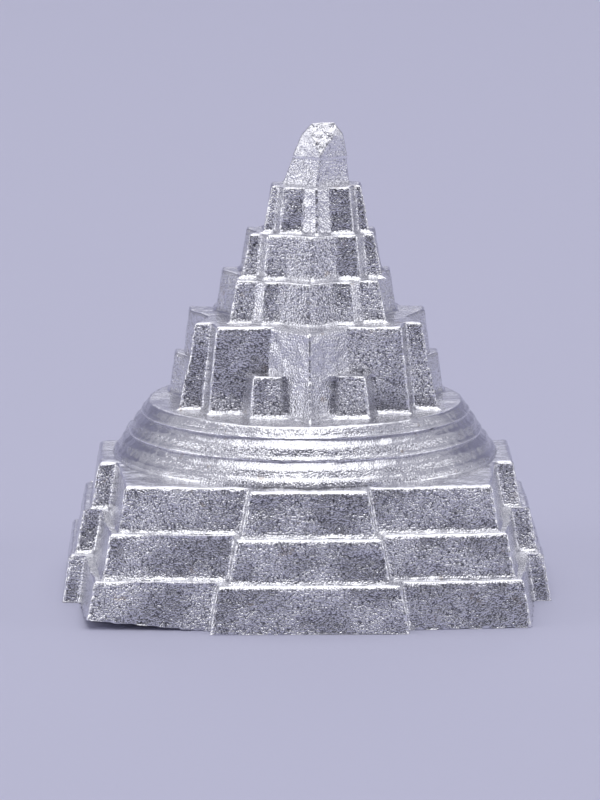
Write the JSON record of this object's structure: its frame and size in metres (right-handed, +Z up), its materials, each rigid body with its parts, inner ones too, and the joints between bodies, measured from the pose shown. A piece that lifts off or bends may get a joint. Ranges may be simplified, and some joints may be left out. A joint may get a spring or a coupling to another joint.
{
  "type": "shri yantra",
  "caption": "Small cast silver shri yantra in raised form: square gated court steps, round steps, star-shaped tiers tapering to a triangle with a ground top.",
  "frame": {"origin": "centre of the square foot, on the flat underside", "axes": "+Z up through the tiers, -Y towards the viewer's side that the innermost triangle points to, +X to the viewer's right"},
  "size_m": [0.031, 0.031, 0.0297],
  "materials": {
    "cast_silver": "as-cast silver with a fine sand-like grain and bright worn edges",
    "ground_silver": "bright silver, rough where the casting gate was ground off"
  },
  "bodies": {
    "root": {"court_step_lower": "cast_silver", "court_step_middle": "cast_silver", "court_step_upper": "cast_silver", "ring_step_lower": "cast_silver", "ring_step_middle": "cast_silver", "ring_step_upper": "cast_silver", "fourteen_point_tier_lower": "cast_silver", "fourteen_point_tier_upper": "cast_silver", "outer_ten_point_tier": "cast_silver", "inner_ten_point_tier": "cast_silver", "eight_point_tier": "cast_silver", "triangle_tier": "cast_silver", "bindu_cap": "ground_silver"}
  },
  "joints": []
}
